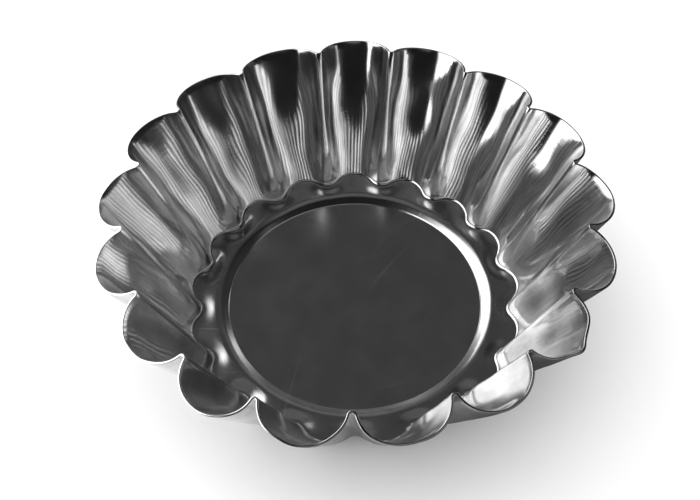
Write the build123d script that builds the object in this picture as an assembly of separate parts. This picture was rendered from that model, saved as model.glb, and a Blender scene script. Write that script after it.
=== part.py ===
from build123d import *
import math
import os

# Small fluted tart tin: one piece of thin tinned steel, pressed in a die.
# Millimetres, +Z up. The origin is the centre of the underside of the round
# bottom disc, the face that the tin stands on. The inward folds start at -Y.

# Sheet and flutes
SHEET = 0.4             # thickness of the tinned sheet
FLUTES = 17             # flutes round the wall, one fold between each two
FIRST_FOLD_DEG = -90.0  # direction of the first fold

# Rim, measured on the outer skin
RIM_TIP_RADIUS = 40.0    # over the flutes
RIM_TIP_HEIGHT = 22.5    # top edge at the middle of a flute
RIM_FOLD_RADIUS = 35.5   # at the inward folds
RIM_FOLD_HEIGHT = 24.3   # top edge at a fold, which stands higher
RIM_CREST_RADIUS = 0.6   # radius of the folded corner at the rim

# Root of the wall, where it turns into the ledge, measured on the outer skin
ROOT_TIP_RADIUS = 28.0
ROOT_FOLD_RADIUS = 26.0
ROOT_CREST_RADIUS = 1.9  # the folds open out towards the root
ROOT_BEND = 0.6          # inside radius of the bend from wall to ledge
BEND_STEPS = 4           # flat steps that round that bend

# Ledge and bottom disc
LEDGE_RISE = 0.9         # the ledge stands this much above the disc
SHOULDER_START = 23.5    # the ledge is flat outside this radius
SHOULDER_BEND = 2.0      # mid-sheet radius of the soft bend at the ledge
CREASE_BEND = 0.4        # mid-sheet radius of the tight bend at the disc
STEP_SLOPE_DEG = 28.0    # slope of the short ramp between those bends

NODE = "fluted_tin"

half_pitch = math.pi / FLUTES
ledge_top = LEDGE_RISE + SHEET
blank_height = RIM_FOLD_HEIGHT + 2.0


def polar(radius, angle):
    """A point of the XY plane at a radius and an angle."""
    return Vector(radius * math.cos(angle), radius * math.sin(angle))


def flute_outline(tip_radius, fold_radius, crest_radius, height):
    """Closed outline of wide flute arcs, each tangent to a small fold arc on both sides."""
    crest_centre = fold_radius + crest_radius
    chord = tip_radius - crest_centre * math.cos(half_pitch) + crest_radius
    power = tip_radius**2 + crest_centre**2 - crest_radius**2
    power -= 2 * tip_radius * crest_centre * math.cos(half_pitch)
    flute_centre = tip_radius - power / (2 * chord)

    def joint(fold_angle, flute_angle):
        """Where a fold arc meets a flute arc, on the line between their centres."""
        crest = polar(crest_centre, fold_angle)
        towards = polar(flute_centre, flute_angle) - crest
        return crest + towards.normalized() * crest_radius

    edges = []
    for number in range(FLUTES):
        fold = math.radians(FIRST_FOLD_DEG) + 2 * half_pitch * number
        flute = fold + half_pitch
        before = joint(fold, fold - half_pitch)
        after = joint(fold, flute)
        far_side = joint(flute + half_pitch, flute)
        edges.append(ThreePointArc(before, polar(fold_radius, fold), after))
        edges.append(ThreePointArc(after, polar(tip_radius, flute), far_side))
    return Pos(0, 0, height) * Face(Wire(edges))


def at_height(root_value, rim_value, rim_height, height):
    """A size along the straight wall, carried on from the root and the rim to another height."""
    share = (height - LEDGE_RISE) / (rim_height - LEDGE_RISE)
    return root_value + (rim_value - root_value) * share


def wall_plug(inset, floor, bend):
    """The space inside one skin of the fluted wall, from its floor up past the rim."""
    lean = math.atan((RIM_TIP_RADIUS - ROOT_TIP_RADIUS) / (RIM_TIP_HEIGHT - LEDGE_RISE))
    turn = math.pi / 2 - lean
    levels = []
    for step in range(BEND_STEPS + 1):
        angle = turn * step / BEND_STEPS
        rise = bend * (1 - math.cos(angle))
        pull = bend * (math.tan(turn / 2) - math.sin(angle)) + rise * math.tan(lean)
        levels.append((floor + rise, inset + pull))
    levels.append((blank_height, inset))

    sections = []
    for height, pulled_in in levels:
        tip = at_height(ROOT_TIP_RADIUS, RIM_TIP_RADIUS, RIM_TIP_HEIGHT, height)
        fold = at_height(ROOT_FOLD_RADIUS, RIM_FOLD_RADIUS, RIM_FOLD_HEIGHT, height)
        crest = at_height(ROOT_CREST_RADIUS, RIM_CREST_RADIUS, RIM_FOLD_HEIGHT, height)
        outline = flute_outline(tip - pulled_in, fold - pulled_in, crest + pulled_in, height)
        sections.append(outline)
    return loft(sections, ruled=True)


def rim_trim():
    """Everything below the cone that the top edge was trimmed to."""
    fall = (RIM_FOLD_HEIGHT - RIM_TIP_HEIGHT) / (RIM_TIP_RADIUS - RIM_FOLD_RADIUS)
    beyond = RIM_TIP_RADIUS + 5.0
    apex = RIM_FOLD_HEIGHT + fall * RIM_FOLD_RADIUS
    edge = RIM_TIP_HEIGHT - fall * (beyond - RIM_TIP_RADIUS)
    section = Polyline((0, 0, -1), (beyond, 0, -1), (beyond, 0, edge), (0, 0, apex), close=True)
    return revolve(make_face(section), Axis.Z)


def stepped_bottom():
    """Bottom disc and the ramp up to the ledge, turned from one section of the sheet."""
    middle = SHEET / 2
    slope = math.radians(STEP_SLOPE_DEG)
    bends = SHOULDER_BEND + CREASE_BEND
    ramp_rise = LEDGE_RISE - bends * (1 - math.cos(slope))
    crease_start = SHOULDER_START - bends * math.sin(slope) - ramp_rise / math.tan(slope)

    def skin(side):
        """One skin of the sheet, above (+1) or below (-1) its middle, from the axis outwards."""
        offset = side * middle
        crease = CREASE_BEND - offset
        shoulder = SHOULDER_BEND + offset
        crease_centre = middle + CREASE_BEND
        shoulder_centre = middle + LEDGE_RISE - SHOULDER_BEND

        def on_crease(angle):
            radius = crease_start + crease * math.sin(angle)
            return (radius, 0, crease_centre - crease * math.cos(angle))

        def on_shoulder(angle):
            radius = SHOULDER_START - shoulder * math.sin(angle)
            return (radius, 0, shoulder_centre + shoulder * math.cos(angle))

        disc = Line((0, 0, middle + offset), on_crease(0))
        crease_arc = ThreePointArc(on_crease(0), on_crease(slope / 2), on_crease(slope))
        ramp = Line(on_crease(slope), on_shoulder(slope))
        shoulder_arc = ThreePointArc(on_shoulder(slope), on_shoulder(slope / 2), on_shoulder(0))
        return [disc, crease_arc, ramp, shoulder_arc]

    top = skin(+1)
    bottom = skin(-1)
    axis_side = Line(bottom[0] @ 0, top[0] @ 0)
    ledge_side = Line(bottom[-1] @ 1, top[-1] @ 1)
    section = Face(Wire(top + bottom + [axis_side, ledge_side]))
    return revolve(section, Axis.Z)


def fluted_tin():
    """The whole tin: fluted wall and ledge as the gap between two plugs, closed by the bottom."""
    rise = RIM_TIP_HEIGHT - LEDGE_RISE
    spread = RIM_TIP_RADIUS - ROOT_TIP_RADIUS
    level_thickness = SHEET * math.hypot(rise, spread) / rise
    outside = wall_plug(0.0, LEDGE_RISE, ROOT_BEND + SHEET)
    inside = wall_plug(level_thickness, ledge_top, ROOT_BEND)
    opening = Pos(0, 0, LEDGE_RISE) * Cylinder(SHOULDER_START, 4 * SHEET)
    wall = (outside - inside - opening) & rim_trim()
    return wall + stepped_bottom()


os.makedirs("parts", exist_ok=True)
tin = fluted_tin()
tin.label = NODE
export_step(tin, f"parts/{NODE}.step")
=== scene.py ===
import math

import bpy
import numpy as np
from mathutils import Matrix, Vector


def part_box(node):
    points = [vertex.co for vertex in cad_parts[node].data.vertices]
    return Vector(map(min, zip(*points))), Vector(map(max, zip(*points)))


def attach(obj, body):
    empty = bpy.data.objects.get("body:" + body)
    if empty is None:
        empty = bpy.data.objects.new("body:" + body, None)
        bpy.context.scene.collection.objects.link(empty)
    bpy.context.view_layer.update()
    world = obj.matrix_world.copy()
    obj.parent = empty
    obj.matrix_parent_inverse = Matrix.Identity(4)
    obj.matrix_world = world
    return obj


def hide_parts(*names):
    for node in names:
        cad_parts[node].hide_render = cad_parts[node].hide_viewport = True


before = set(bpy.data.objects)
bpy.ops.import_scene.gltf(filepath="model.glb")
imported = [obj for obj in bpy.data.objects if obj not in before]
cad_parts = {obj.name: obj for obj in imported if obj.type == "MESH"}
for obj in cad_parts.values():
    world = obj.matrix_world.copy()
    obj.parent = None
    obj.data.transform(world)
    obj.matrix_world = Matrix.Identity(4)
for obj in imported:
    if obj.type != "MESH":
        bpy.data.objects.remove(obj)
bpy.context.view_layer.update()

# ---------------------------------------------------------------- frame and sizes
# The CAD box gives the scale: a flute's tip points along +Y, so the box ends at the rim's
# radius there. MM is one millimetre of a tin with an 80 mm rim.
NODE = "fluted_tin"
SLOT = "tinned_steel"
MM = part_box(NODE)[1][1] / 40.0
TENTH = 0.1 * MM
HUNDREDTH = 0.01 * MM

SHEET = 0.4 * MM
FLUTES = 17
FIRST_FOLD = math.radians(-90)
HALF_PITCH = math.pi / FLUTES

RIM_TIP_RADIUS = 40.0 * MM
RIM_TIP_HEIGHT = 22.5 * MM
RIM_FOLD_RADIUS = 35.5 * MM
RIM_FOLD_HEIGHT = 24.3 * MM
RIM_CREST_RADIUS = 0.2 * MM

ROOT_TIP_RADIUS = 28.0 * MM
ROOT_FOLD_RADIUS = 26.0 * MM
ROOT_CREST_RADIUS = 1.9 * MM
ROOT_BEND = 0.6 * MM

LEDGE_RISE = 0.9 * MM
SHOULDER_START = 23.6 * MM
SHOULDER_BEND = 3.0 * MM
STEP_SLOPE = math.radians(28)
LIP_BEND = 0.4 * MM             # the ramp ends in a short crisp drop to the disc
LIP_SLOPE = math.radians(45)
CREASE_BEND = 0.35 * MM


# ---------------------------------------------------------------- camera
CAMERA_AZIMUTH = 0.44           # degrees round from -Y, anticlockwise from above
CAMERA_TILT_DOWN = 54.53        # degrees below the horizon
CAMERA_DISTANCE = 4.548 * RIM_TIP_RADIUS
CAMERA_LENS = 55.18             # mm on a 36 mm wide sensor
CAMERA_PAN = 0.0039             # small turns that set the tin in the frame, in radians
CAMERA_PITCH = 0.0463
CAMERA_ROLL = 0.0128


def make_camera():
    """Looks down at the tin from -Y, turned a little so that the tin lies as framed."""
    down = math.radians(CAMERA_TILT_DOWN)
    back = Vector((0, -math.cos(down), math.sin(down)))
    right = Vector((1, 0, 0))
    place = back * CAMERA_DISTANCE + Vector((0, 0, SHEET))
    axes = Matrix((right, back.cross(right), back)).transposed()
    axes = axes @ Matrix.Rotation(CAMERA_PAN, 3, "Y")
    axes = axes @ Matrix.Rotation(CAMERA_PITCH, 3, "X")
    axes = axes @ Matrix.Rotation(-CAMERA_ROLL, 3, "Z")

    camera = bpy.data.objects.new("camera", bpy.data.cameras.new("camera"))
    bpy.context.scene.collection.objects.link(camera)
    spin = Matrix.Rotation(math.radians(CAMERA_AZIMUTH), 4, "Z")
    camera.matrix_world = spin @ Matrix.Translation(place) @ axes.to_4x4()
    camera.data.lens = CAMERA_LENS
    camera.data.sensor_width = 36.0
    camera.data.clip_start = 0.001
    camera.data.clip_end = 50.0
    bpy.context.scene.camera = camera


make_camera()


# ---------------------------------------------------------------- unevenness of a pressed tin
# How far each fold's rim end is pushed round the tin and outwards, in tenths of a millimetre,
# from the fold at -Y on. A fold's root stays where the die put it.
FOLD_DRIFT = (-3, 7, 3, 0, -6, -8, -4, -4, 1, -6, 4, 3, 4, 5, 1, 5, -4)
FOLD_SPREAD = (0, -1, 0, -2, 2, 4, 4, -1, 3, 1, 0, 3, -2, -2, -4, -1, 2)

# One flute was knocked flat near its rim: direction in degrees, push outwards, width of each
# push.
KNOCKS = ((322, 0.65 * MM, 1.1 * MM), (326, -0.15 * MM, 1.6 * MM), (330, 0.15 * MM, 1.0 * MM))

# Unevenness left by the press: wavelength, height, and how much longer a wave is up the wall
# than round it. Ripples lie in space; streaks are spread evenly along the rim's outline.
WAVES_IN_FIELD = 24                 # plane waves summed into each height field
RIPPLE_SEED = 7
RIPPLE_FADE = 3 * MM                # the wall's waves are at full height this far up it
WALL_RIPPLES = ((8.0 * MM, 0.050 * MM, 1.5), (4.0 * MM, 0.022 * MM, 3.0))
WALL_STREAKS = ((3.0 * MM, 0.006 * MM, 6.0), (1.5 * MM, 0.0015 * MM, 8.0))
BOTTOM_RIPPLE = (14.0 * MM, 0.010 * MM)

# A soft hollow in the ledge before each fold's root, its depth in hundredths of a millimetre.
DIMPLE_DEPTHS = (24, 24, 24, 24, 24, 26, 30, 38, 48, 50, 45, 52, 55, 15, 16, 42, 24)
DIMPLE_REACH = 1.8 * MM             # its half size towards the disc
DIMPLE_SPREAD = 2.8 * MM            # its half size round the tin
DIMPLE_SETBACK = 0.3 * MM           # from the fold's root towards the disc
DIMPLE_FADE = 1.5 * MM              # how far it reaches up the wall


# ---------------------------------------------------------------- shape of the tin
FOLD_STEPS = 14      # mesh steps across a fold's crest
FLUTE_STEPS = 50     # mesh steps across a flute
WALL_STEPS = 20
BEND_STEPS = 5
LEDGE_STEPS = 5
SHOULDER_STEPS = 8
RAMP_STEPS = 3
LIP_STEPS = 4
CREASE_STEPS = 5
DISC_STEPS = 3
WALL_SLICES = 60     # level outlines that the wall's own columns are read from
EDGE_ROUNDS = 30     # rounds that settle the rim's wave, as its height depends on its radius
EDGE_ANGLES = (-60, -25, 25, 60)    # rows of points round the cut edge, in degrees


def flute_outline(tip_radius, fold_radius, crest_radius):
    """One fold-to-fold stretch of the outline, as complex numbers, from a fold's middle on."""
    crest_centre = fold_radius + crest_radius
    chord = tip_radius - crest_centre * math.cos(HALF_PITCH) + crest_radius
    power = tip_radius**2 + crest_centre**2 - crest_radius**2
    power -= 2 * tip_radius * crest_centre * math.cos(HALF_PITCH)
    flute_radius = power / (2 * chord)
    flute_centre = (tip_radius - flute_radius) * np.exp(1j * HALF_PITCH)

    joint_angle = np.angle(flute_centre - crest_centre)
    sweep = np.linspace(math.pi, joint_angle, FOLD_STEPS // 2 + 1)
    crest = crest_centre + crest_radius * np.exp(1j * sweep)
    joint = crest[-1]
    half_flute = abs(np.angle(joint - flute_centre) - HALF_PITCH)
    across = np.linspace(-half_flute, half_flute, FLUTE_STEPS + 1)[1:-1]
    flute = flute_centre + flute_radius * np.exp(1j * (HALF_PITCH + across))
    next_crest = np.conj(crest[::-1]) * np.exp(2j * HALF_PITCH)
    return np.concatenate([crest, flute, next_crest[:-1]])


def wall_outline(height, pull):
    """The wall's mid-sheet outline at a height, pulled in towards the axis by a bend."""
    rise = RIM_TIP_HEIGHT - LEDGE_RISE
    spread = RIM_TIP_RADIUS - ROOT_TIP_RADIUS
    inset = SHEET / 2 * math.hypot(rise, spread) / rise + pull
    tip_share = (height - LEDGE_RISE) / rise
    fold_share = (height - LEDGE_RISE) / (RIM_FOLD_HEIGHT - LEDGE_RISE)
    tip = ROOT_TIP_RADIUS + spread * tip_share - inset
    fold = ROOT_FOLD_RADIUS + (RIM_FOLD_RADIUS - ROOT_FOLD_RADIUS) * fold_share - inset
    crest = ROOT_CREST_RADIUS * (1 - fold_share) ** 4 + RIM_CREST_RADIUS * fold_share**2
    crest += inset
    return flute_outline(tip, fold, crest)


def step_profile():
    """Mid-sheet (radius, height) points of the step, from the disc's edge out to the ledge."""
    sine, cosine = math.sin, math.cos
    bends = SHOULDER_BEND * (1 - cosine(STEP_SLOPE))
    bends += LIP_BEND * (cosine(STEP_SLOPE) - cosine(LIP_SLOPE))
    bends += CREASE_BEND * (1 - cosine(LIP_SLOPE))
    ramp_rise = LEDGE_RISE - bends

    points = [(SHOULDER_START, SHEET / 2 + LEDGE_RISE)]

    def bend(size, start, end, steps):
        """Goes on inwards and down round an arc, from one slope to another."""
        turns = np.linspace(start, end, steps + 1)
        sign = 1 if end > start else -1
        for before, after in zip(turns, turns[1:]):
            across = sign * size * (sine(after) - sine(before))
            fall = sign * size * (cosine(before) - cosine(after))
            points.append((points[-1][0] - across, points[-1][1] - fall))

    bend(SHOULDER_BEND, 0, STEP_SLOPE, SHOULDER_STEPS)
    for _ in range(RAMP_STEPS):
        fall = ramp_rise / RAMP_STEPS
        points.append((points[-1][0] - fall / math.tan(STEP_SLOPE), points[-1][1] - fall))
    bend(LIP_BEND, STEP_SLOPE, LIP_SLOPE, LIP_STEPS)
    bend(CREASE_BEND, LIP_SLOPE, 0, CREASE_STEPS)
    return points[::-1]


def sheet_rows():
    """Rows of (outline, height) over one flute, from near the disc's middle up to the rim."""
    middle = SHEET / 2
    floor = LEDGE_RISE + middle
    lean = math.atan((RIM_TIP_RADIUS - ROOT_TIP_RADIUS) / (RIM_TIP_HEIGHT - LEDGE_RISE))
    root_turn = math.pi / 2 - lean
    bend = ROOT_BEND + middle
    bend_rows = []
    for angle in np.linspace(0, root_turn, BEND_STEPS + 1):
        rise = bend * (1 - math.cos(angle))
        pull = bend * (math.tan(root_turn / 2) - math.sin(angle)) + rise * math.tan(lean)
        bend_rows.append((wall_outline(floor + rise, pull), floor + rise))
    root = bend_rows[0][0]
    even = np.exp(2j * HALF_PITCH * np.arange(len(root)) / len(root))

    step = step_profile()
    disc_shares = np.linspace(0, 1, DISC_STEPS + 1)[1:-1]
    rows = [(step[0][0] * share * even, middle) for share in disc_shares]
    rows += [(radius * even, height) for radius, height in step]
    for share in np.linspace(0, 1, LEDGE_STEPS + 1)[1:-1]:
        radius = SHOULDER_START + (abs(root) - SHOULDER_START) * share
        angle = np.angle(even) * (1 - share) + np.angle(root) * share
        rows.append((radius * np.exp(1j * angle), floor))
    rows += bend_rows

    low = bend_rows[-1][1]
    levels = np.linspace(low, RIM_FOLD_HEIGHT + 2 * MM, WALL_SLICES)
    slices = np.array([wall_outline(level, 0.0) for level in levels])

    def wall_at(heights):
        """The outline with each column taken at its own height."""
        columns = zip(heights, slices.T)
        return np.array([np.interp(height, levels, column) for height, column in columns])

    fall = (RIM_FOLD_HEIGHT - RIM_TIP_HEIGHT) / (RIM_TIP_RADIUS - RIM_FOLD_RADIUS)
    edge = np.full(len(root), RIM_FOLD_HEIGHT)
    for _ in range(EDGE_ROUNDS):
        edge = RIM_FOLD_HEIGHT - fall * (abs(wall_at(edge)) - RIM_FOLD_RADIUS)
    for share in np.linspace(0, 1, WALL_STEPS + 1)[1:]:
        heights = low + (edge - low) * share
        rows.append((wall_at(heights), heights))
    return rows


def middle_surface():
    """Grid of points (row, column, xyz) over the middle of the sheet, all the way round."""
    turns = np.exp(1j * (FIRST_FOLD + 2 * HALF_PITCH * np.arange(FLUTES)))
    grid = []
    for outline, height in sheet_rows():
        ring = np.concatenate([outline * turn for turn in turns])
        level = np.concatenate([np.broadcast_to(height, outline.shape)] * FLUTES)
        grid.append(np.stack([ring.real, ring.imag, level], axis=-1))
    return np.array(grid)


def along_profile(grid):
    """Distance up the profile from the wall's root, negative on the ledge and the disc."""
    steps = np.linalg.norm(np.diff(grid, axis=0), axis=-1)
    reach = np.concatenate([np.zeros((1, grid.shape[1])), np.cumsum(steps, axis=0)])
    return reach - reach[-1 - WALL_STEPS - BEND_STEPS]


def between_folds(values):
    """One value per fold, eased over the mesh columns from each fold to the next."""
    values = np.array(values)
    ease = 0.5 - 0.5 * np.cos(np.linspace(0, math.pi, FOLD_STEPS + FLUTE_STEPS, endpoint=False))
    return np.concatenate([a + (b - a) * ease for a, b in zip(values, np.roll(values, -1))])


def waves(points, wavelength, rng):
    """A smooth random height field of about unit size, made of plane waves."""
    field = np.zeros(points.shape[:-1])
    for _ in range(WAVES_IN_FIELD):
        way = rng.normal(size=points.shape[-1])
        way *= 2 * math.pi / wavelength / np.linalg.norm(way)
        field += np.cos(points @ way + rng.uniform(0, 2 * math.pi))
    return field / math.sqrt(WAVES_IN_FIELD / 2)


def make_uneven(grid):
    """Moves the folds' rim ends, dents one flute, ripples the sheet and dimples the ledge."""
    climb = np.clip((grid[..., 2] - LEDGE_RISE) / (RIM_TIP_HEIGHT - LEDGE_RISE), 0, None)
    radius = np.hypot(grid[..., 0], grid[..., 1])
    azimuth = np.arctan2(grid[..., 1], grid[..., 0])
    azimuth += climb * between_folds(FOLD_DRIFT) * TENTH / RIM_TIP_RADIUS
    radius += climb * between_folds(FOLD_SPREAD) * TENTH
    for direction, push, width in KNOCKS:
        off = (azimuth - math.radians(direction) + math.pi) % (2 * math.pi) - math.pi
        radius += push * climb**2 * np.exp(-(off * RIM_TIP_RADIUS / width) ** 2 / 2)
    bent = np.stack([radius * np.cos(azimuth), radius * np.sin(azimuth), grid[..., 2]], axis=-1)

    rng = np.random.default_rng(RIPPLE_SEED)
    climbed = along_profile(grid)
    wall = np.clip(climbed / RIPPLE_FADE, 0, 1)
    lift = np.zeros(radius.shape)
    for wavelength, height, stretch in WALL_RIPPLES:
        squeezed = bent * (1, 1, 1 / stretch)
        lift += wall * height * waves(squeezed, wavelength, rng)
    turn = np.linspace(0, 2 * math.pi, grid.shape[1], endpoint=False)
    girth = np.broadcast_to(RIM_TIP_RADIUS * np.exp(1j * turn), radius.shape)
    for wavelength, height, stretch in WALL_STREAKS:
        unrolled = np.stack([girth.real, girth.imag, climbed / stretch], axis=-1)
        lift += wall * height * waves(unrolled, wavelength, rng)
    wavelength, height = BOTTOM_RIPPLE
    lift += height * waves(bent, wavelength, rng) * (1 - wall)

    fade = np.exp(-np.clip(climbed, 0, None) / DIMPLE_FADE)
    for fold, depth in enumerate(DIMPLE_DEPTHS):
        away = FIRST_FOLD + 2 * HALF_PITCH * fold
        turned = (bent[..., 0] + 1j * bent[..., 1]) * np.exp(-1j * away)
        along = (turned.real - ROOT_FOLD_RADIUS + DIMPLE_SETBACK) / DIMPLE_REACH
        near = np.hypot(along, turned.imag / DIMPLE_SPREAD)
        lift -= depth * HUNDREDTH * np.exp(-near**3) * fade
    return bent + inward_normals(bent) * lift[..., None]


def inward_normals(grid):
    """Unit normals on the side that food touches."""
    around = np.roll(grid, -1, axis=1) - np.roll(grid, 1, axis=1)
    along = np.gradient(grid, axis=0)
    normal = np.cross(along, around)
    return normal / np.linalg.norm(normal, axis=-1, keepdims=True)


def cut_edge(grid, normal):
    """Rows of points round the cut edge at the rim, from the inner skin to the outer one."""
    rise = grid[-1] - grid[-2]
    rise /= np.linalg.norm(rise, axis=-1, keepdims=True)
    rows = []
    for angle in np.radians(EDGE_ANGLES):
        out = np.sign(angle) * abs(math.sin(angle)) ** 0.5
        up = rise * SHEET / 4 * math.cos(angle)
        rows.append(grid[-1] - normal[-1] * SHEET / 2 * out + up)
    return rows


def closed_faces(row_count, columns):
    """Faces between rings of points, closed by one point before and one after them all."""
    faces = []
    last = 1 + row_count * columns
    for column in range(columns):
        after = (column + 1) % columns
        faces.append((0, 1 + column, 1 + after))
        for row in range(row_count - 1):
            here = 1 + row * columns
            there = here + columns
            faces.append((here + column, there + column, there + after, here + after))
        end = 1 + (row_count - 1) * columns
        faces.append((last, end + after, end + column))
    return faces


def flow_values(even, spans):
    """A "flow" vector for each point: once round in x and y, the share of the climb in z."""
    around = np.linalg.norm(np.diff(even[-1 - WALL_STEPS // 2], axis=0), axis=-1)
    turn = np.concatenate([[0], np.cumsum(around)])
    turn *= 2 * math.pi / (turn[-1] + around[0])    # the closing step is as long as the first
    middle = (0, 0, spans[0][0])
    flow = [middle]
    for level in spans:
        flow += list(zip(np.cos(turn), np.sin(turn), level))
    flow.append(middle)
    return np.array(flow, dtype=np.float32)


def make_tin():
    """The whole sheet as one closed mesh: inner skin, rounded cut edge, outer skin."""
    even = middle_surface()
    grid = make_uneven(even)
    normal = inward_normals(grid)
    inner = grid + normal * SHEET / 2
    outer = grid - normal * SHEET / 2
    edge = cut_edge(grid, normal)
    rows = list(inner) + edge + list(outer[::-1])

    points = [(0, 0, rows[0][0][2])] + [tuple(p) for row in rows for p in row]
    points.append((0, 0, rows[-1][0][2]))
    faces = closed_faces(len(rows), grid.shape[1])
    mesh = bpy.data.meshes.new("tin_sheet")
    mesh.from_pydata(points, [], faces)
    mesh.polygons.foreach_set("use_smooth", [True] * len(faces))
    mesh.update()

    span = along_profile(even)
    span = span / span[-1]
    spans = list(span) + [span[-1]] * len(edge) + list(span[::-1])
    layer = mesh.attributes.new("flow", "FLOAT_VECTOR", "POINT")
    layer.data.foreach_set("vector", flow_values(even, spans).ravel())
    tin = bpy.data.objects.new("tin_sheet", mesh)
    bpy.context.scene.collection.objects.link(tin)
    return tin


# ---------------------------------------------------------------- node helpers
class Tree:
    """Short names for the nodes that the materials and the studio are made of."""

    def __init__(self, owner):
        owner.use_nodes = True
        self.nodes, self.links = owner.node_tree.nodes, owner.node_tree.links

    def feed(self, socket, value):
        """Links another node's output to a socket, or sets the socket to a plain value."""
        if isinstance(value, bpy.types.NodeSocket):
            self.links.new(value, socket)
        else:
            socket.default_value = value

    def add(self, kind, **inputs):
        """A new node with its named inputs fed; an underscore stands for a space."""
        node = self.nodes.new(kind)
        for name, value in inputs.items():
            self.feed(node.inputs[name.replace("_", " ")], value)
        return node

    def math(self, operation, *values):
        node = self.nodes.new("ShaderNodeMath")
        node.operation = operation
        for socket, value in zip(node.inputs, values):
            self.feed(socket, value)
        return node.outputs[0]

    def times(self, vector, factors):
        node = self.nodes.new("ShaderNodeVectorMath")
        node.operation = "MULTIPLY"
        self.feed(node.inputs[0], vector)
        self.feed(node.inputs[1], factors)
        return node.outputs[0]

    def noise(self, vector, scale=1.0, detail=2.0, rough=0.5):
        return self.add("ShaderNodeTexNoise", Vector=vector, Scale=scale, Detail=detail,
                        Roughness=rough).outputs["Fac"]

    def ease(self, value, start, end, low=0.0, high=1.0):
        """Low up to start, easing to high at end; start may be the larger of the two."""
        node = self.add("ShaderNodeMapRange", Value=value, From_Min=start, From_Max=end,
                        To_Min=low, To_Max=high)
        node.interpolation_type = "SMOOTHSTEP"
        return node.outputs["Result"]

    def blend(self, share, first, second):
        """The first value where the share is 0, the second where it is 1."""
        node = self.nodes.new("ShaderNodeMix")
        self.feed(node.inputs["Factor"], share)
        self.feed(node.inputs[2], first)
        self.feed(node.inputs[3], second)
        return node.outputs[0]

    def split(self, vector):
        return self.add("ShaderNodeSeparateXYZ", Vector=vector).outputs

    def bump(self, height, depth, below=None):
        node = self.add("ShaderNodeBump", Height=height, Distance=depth)
        if below is not None:
            self.feed(node.inputs["Normal"], below)
        return node.outputs[0]


# ---------------------------------------------------------------- materials
# Pairs are the least and the most that a noise pattern makes of a value.
WALL_ROUGHNESS = 0.11
WORN_ROUGHNESS = 0.15           # the wall at -X is duller,
WORN_FROM = -30 * MM            # fully so from this X outwards
DISC_ROUGHNESS = 0.15
SECOND_ROUGHNESS = 0.28         # a reflection within a reflection is softer
CLOUDED_ROUGHNESS = (0.94, 1.06)    # times the roughness
MARK_ROUGHNESS = 0.04           # added by a scratch on the disc
SPECK_ROUGHNESS = 0.05          # added by a speck

TIN_TONE = (0.62, 0.70)
STAINED_WALL = (0.94, 1.20)     # times the tone
MARK_TONE = 0.15
SPECK_TONE = 0.12

LINE_HEIGHT = 0.0035 * MM       # of the drawing lines at the root of the wall
LEAST_LINES = 0.05              # their height elsewhere, as a share of that: at the least,
PATCH_LINES = 0.4               # in patches,
FOLD_LINES = 8.0                # and close to a fold
WIPE_HEIGHT = 0.007 * MM        # of the wiping scratches

# Waves of a pattern along the x, y and z of "flow".
LINE_WAVES = (90, 90, 2.5)
LINE_PATCHES = (9, 9, 1.5)
WIPE_WAVES = (11, 11, 85)
WIPE_PATCHES = (6, 6, 3)
STAIN_WAVES = (7, 7, 2.2)

# Waves of a pattern per metre.
CLOUD_WAVES = 160.0
SPECK_WAVES = 1700.0
MARK_BREAKS = 60.0              # how often a scratch on the disc starts and stops
MARK_RINGS = (((0.055, -0.03, 0), 1500.0), ((-0.02, 0.075, 0), 1900.0))  # centres, waves
TOOTH_WAVES = 900.0
MOTTLE_WAVES = 25.0

PAPER_TONE = (0.88, 0.91)
TOOTH_HEIGHT = 0.02 * MM
SHADED_PAPER_IN_METAL = 0.1            # painted shadow: share of the paper's tone that the metal mirrors at +X, from this X on, for the tin's shadow on its right; at -X it mirrors all of it
PAINTED_SHADOW_REACH = 30 * MM          # from this X on; at -X it mirrors all of it


def drawing_lines(tree, flow, wall):
    """Lines up the wall, highest at its root and beside the folds, patchy elsewhere."""
    x, y, climb = tree.split(flow)
    lines = tree.noise(tree.times(flow, LINE_WAVES), detail=3, rough=0.6)
    patches = tree.noise(tree.times(flow, LINE_PATCHES), detail=1)
    at_root = tree.ease(climb, 0.45, 0.02)
    height = tree.math("MAXIMUM", at_root, tree.ease(patches, 0.55, 0.8, 0, PATCH_LINES))
    pitches = tree.math("MULTIPLY", tree.math("ARCTAN2", y, x), FLUTES / (2 * math.pi))
    from_fold = tree.math("PINGPONG", pitches, 0.5)
    height = tree.math("MAXIMUM", height, tree.ease(from_fold, 0.03, 0.2, FOLD_LINES, 0.0))
    height = tree.math("MULTIPLY_ADD", height, 1 - LEAST_LINES, LEAST_LINES)
    height = tree.math("MULTIPLY", height, wall)
    return tree.bump(tree.math("MULTIPLY", lines, height), LINE_HEIGHT)


def wiping_scratches(tree, flow, below):
    """Fine scratches across the flutes, in patches near the rim."""
    climb = tree.split(flow)[2]
    wipes = tree.noise(tree.times(flow, WIPE_WAVES), detail=2, rough=0.7)
    patches = tree.noise(tree.times(flow, WIPE_PATCHES), detail=1)
    where = tree.ease(patches, 0.46, 0.62)
    where = tree.math("MULTIPLY", where, tree.ease(climb, 0.15, 0.5))
    return tree.bump(tree.math("MULTIPLY", wipes, where), WIPE_HEIGHT, below)


def disc_marks(tree, place, wall):
    """Long faint scratches on the bottom, parts of circles about points beside the tin."""
    marks = None
    for centre, rings in MARK_RINGS:
        away = tree.add("ShaderNodeVectorMath")
        away.operation = "DISTANCE"
        tree.feed(away.inputs[0], place)
        tree.feed(away.inputs[1], centre)
        ring = tree.math("MULTIPLY", away.outputs["Value"], rings)
        along = tree.math("MULTIPLY", tree.split(place)[0], MARK_BREAKS)
        where = tree.add("ShaderNodeCombineXYZ", X=ring, Y=along)
        mark = tree.ease(tree.noise(where.outputs[0], detail=1), 0.64, 0.82)
        marks = mark if marks is None else tree.math("MAXIMUM", marks, mark)
    return tree.math("MULTIPLY", marks, tree.math("SUBTRACT", 1.0, wall))


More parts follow.
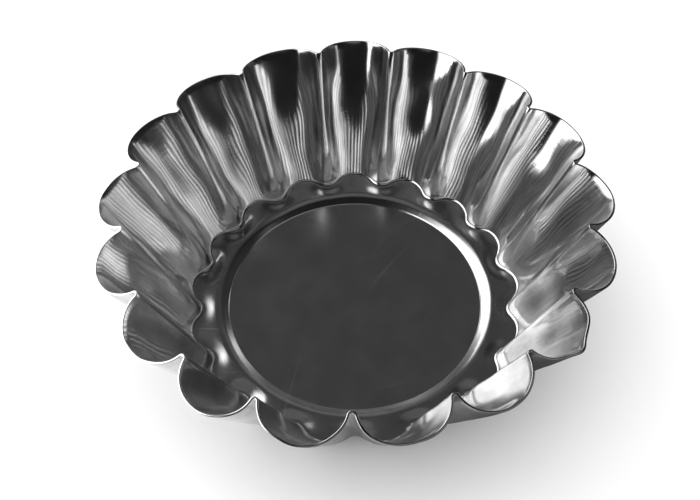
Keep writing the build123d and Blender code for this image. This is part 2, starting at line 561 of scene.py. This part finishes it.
def tinned_steel():
    """Bright tin: drawing lines up the wall, wiping scratches across it, a duller bottom.

    The mesh attribute "flow" runs once round the tin in x and y, along the outline, and up
    the profile in z: 0 at the wall's root, 1 at the rim, below 0 on the ledge and the disc.
    """
    material = bpy.data.materials.new(SLOT)
    tree = Tree(material)
    shader = tree.nodes["Principled BSDF"]
    shader.inputs["Metallic"].default_value = 1.0
    flow_node = tree.nodes.new("ShaderNodeAttribute")
    flow_node.attribute_name = "flow"
    flow = flow_node.outputs["Vector"]
    place = tree.nodes.new("ShaderNodeTexCoord").outputs["Object"]
    wall = tree.ease(tree.split(flow)[2], -0.03, 0.05)

    drawn = drawing_lines(tree, flow, wall)
    tree.feed(shader.inputs["Normal"], wiping_scratches(tree, flow, drawn))

    marks = disc_marks(tree, place, wall)
    clouds = tree.noise(place, scale=CLOUD_WAVES, detail=4, rough=0.6)
    specks = tree.ease(tree.noise(place, scale=SPECK_WAVES, detail=0), 0.83, 0.87)

    worn = tree.ease(tree.split(place)[0], 0, WORN_FROM, WALL_ROUGHNESS, WORN_ROUGHNESS)
    rough = tree.blend(wall, DISC_ROUGHNESS, worn)
    rough = tree.math("MULTIPLY", rough, tree.ease(clouds, 0.3, 0.7, *CLOUDED_ROUGHNESS))
    rough = tree.math("ADD", rough, tree.math("MULTIPLY", marks, MARK_ROUGHNESS))
    rough = tree.math("MULTIPLY_ADD", specks, SPECK_ROUGHNESS, rough)
    path = tree.nodes.new("ShaderNodeLightPath")
    rough = tree.blend(path.outputs["Is Glossy Ray"], rough, SECOND_ROUGHNESS)
    tree.feed(shader.inputs["Roughness"], rough)

    tone = tree.ease(clouds, 0.3, 0.7, *TIN_TONE)
    stains = tree.noise(tree.times(flow, STAIN_WAVES), detail=4, rough=0.65)
    stains = tree.ease(stains, 0.40, 0.60, *STAINED_WALL)
    tone = tree.math("MULTIPLY", tone, tree.blend(wall, 1.0, stains))
    tone = tree.math("MULTIPLY_ADD", marks, MARK_TONE, tone)
    tone = tree.math("MULTIPLY_ADD", specks, SPECK_TONE, tone)
    colour = tree.add("ShaderNodeCombineColor", Red=tone, Green=tone, Blue=tone)
    tree.feed(shader.inputs["Base Color"], colour.outputs[0])
    return material


def floor_paper():
    """Matt white studio paper with a faint tooth; the metal mirrors it with a painted shadow on
    the right.
    """
    material = bpy.data.materials.new("floor_paper")
    tree = Tree(material)
    shader = tree.nodes["Principled BSDF"]
    shader.inputs["Roughness"].default_value = 0.95
    shader.inputs["Specular IOR Level"].default_value = 0.1
    place = tree.nodes.new("ShaderNodeTexCoord").outputs["Object"]
    tooth = tree.noise(place, scale=TOOTH_WAVES, detail=3)
    tree.feed(shader.inputs["Normal"], tree.bump(tooth, TOOTH_HEIGHT))

    mottle = tree.noise(place, scale=MOTTLE_WAVES, detail=2)
    tone = tree.ease(mottle, 0.2, 0.8, *PAPER_TONE)
    # Painted shadow: only where the metal mirrors it, the paper's colour darkens towards +X,
    # standing for the shade that the tin casts to its right.
    side = tree.split(place)[0]
    painted_shadow = tree.ease(side, -PAINTED_SHADOW_REACH, PAINTED_SHADOW_REACH, 1.0, SHADED_PAPER_IN_METAL)
    path = tree.nodes.new("ShaderNodeLightPath")
    painted_shadow = tree.blend(path.outputs["Is Glossy Ray"], 1.0, painted_shadow)
    tone = tree.math("MULTIPLY", tone, painted_shadow)
    colour = tree.add("ShaderNodeCombineColor", Red=tone, Green=tone, Blue=tone)
    tree.feed(shader.inputs["Base Color"], colour.outputs[0])
    return material


# ---------------------------------------------------------------- studio
FLOOR_HALF = 3.0                # metres


def make_floor():
    """One sheet of paper that reaches well past the picture."""
    mesh = bpy.data.meshes.new("floor")
    signs = ((-1, -1), (1, -1), (1, 1), (-1, 1))
    corners = [(x * FLOOR_HALF, y * FLOOR_HALF, 0) for x, y in signs]
    mesh.from_pydata(corners, [], [(0, 1, 2, 3)])
    floor = bpy.data.objects.new("floor", mesh)
    bpy.context.scene.collection.objects.link(floor)
    floor.data.materials.append(floor_paper())


class Studio(Tree):
    """The room round the tin, as soft patches of light on a dim dome.

    Directions are degrees round from +X, anticlockwise from above, and degrees up.
    """

    def __init__(self, dome):
        world = bpy.data.worlds.new("studio")
        super().__init__(world)
        bpy.context.scene.world = world
        self.nodes.clear()
        self.way = self.nodes.new("ShaderNodeTexCoord").outputs["Generated"]
        self.total = dome

    def inside(self, offset, size, soft):
        """1 within half a size of the middle, easing to 0 over the soft edge."""
        near, far = math.radians(size - soft) / 2, math.radians(size + soft) / 2
        return self.ease(self.math("ABSOLUTE", offset), near, far, 1.0, 0.0)

    def patch(self, azimuth, elevation, width, height, soft, radiance):
        """Adds a rectangle of light about a direction, with soft edges, in degrees."""
        turned = self.add("ShaderNodeVectorRotate", Vector=self.way)
        turned.inputs["Angle"].default_value = -math.radians(azimuth)
        turned.rotation_type = "Z_AXIS"
        x, y, z = self.split(turned.outputs[0])
        up = self.math("SUBTRACT", self.math("ARCSINE", z), math.radians(elevation))
        across = self.inside(self.math("ARCTAN2", y, x), width, soft)
        mask = self.math("MULTIPLY", across, self.inside(up, height, soft))
        self.total = self.math("MULTIPLY_ADD", mask, radiance, self.total)

    def finish(self, backdrop, on_paper, fill):
        """The camera sees a plain backdrop; the paper gets less of the patches, but a fill."""
        path = self.nodes.new("ShaderNodeLightPath")
        paper = self.math("MULTIPLY_ADD", self.total, on_paper, fill)
        strength = self.blend(path.outputs["Is Diffuse Ray"], self.total, paper)
        strength = self.blend(path.outputs["Is Camera Ray"], strength, backdrop)
        light = self.add("ShaderNodeBackground", Strength=strength)
        out = self.nodes.new("ShaderNodeOutputWorld")
        self.links.new(light.outputs[0], out.inputs[0])


def make_studio():
    """A bright window on the left; the dim patches are what else the metal mirrors."""
    studio = Studio(dome=0.017)
    studio.patch(azimuth=167, elevation=30, width=104, height=56, soft=10, radiance=2.8)
    # Behind the tin: low on the right, nearly overhead, where the disc looks, and low.
    studio.patch(azimuth=42, elevation=32, width=60, height=40, soft=24, radiance=0.025)
    studio.patch(azimuth=90, elevation=78, width=170, height=22, soft=6, radiance=0.13)
    studio.patch(azimuth=90, elevation=55, width=66, height=30, soft=24, radiance=0.058)
    studio.patch(azimuth=82, elevation=26, width=40, height=26, soft=16, radiance=0.17)
    # In front of it on the right: a wide band, and a strip just above the paper.
    studio.patch(azimuth=307, elevation=45, width=114, height=24, soft=12, radiance=0.3)
    studio.patch(azimuth=320, elevation=6, width=60, height=8, soft=6, radiance=0.06)
    studio.finish(backdrop=1.25, on_paper=0.3, fill=1.15)


def overhead_light(strength, spread):
    """Lights the paper from straight above; the metal doesn't mirror it."""
    light = bpy.data.lights.new("overhead_light", "SUN")
    light.energy = strength
    light.angle = math.radians(spread)
    lamp = bpy.data.objects.new("overhead_light", light)
    bpy.context.scene.collection.objects.link(lamp)
    lamp.location = (0, 0, 1)
    lamp.visible_glossy = False


tin = make_tin()
tin.data.materials.append(tinned_steel())
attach(tin, "root")
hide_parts(NODE)

make_floor()
make_studio()
overhead_light(strength=0.8, spread=60)
bpy.context.scene.view_settings.view_transform = "Standard"
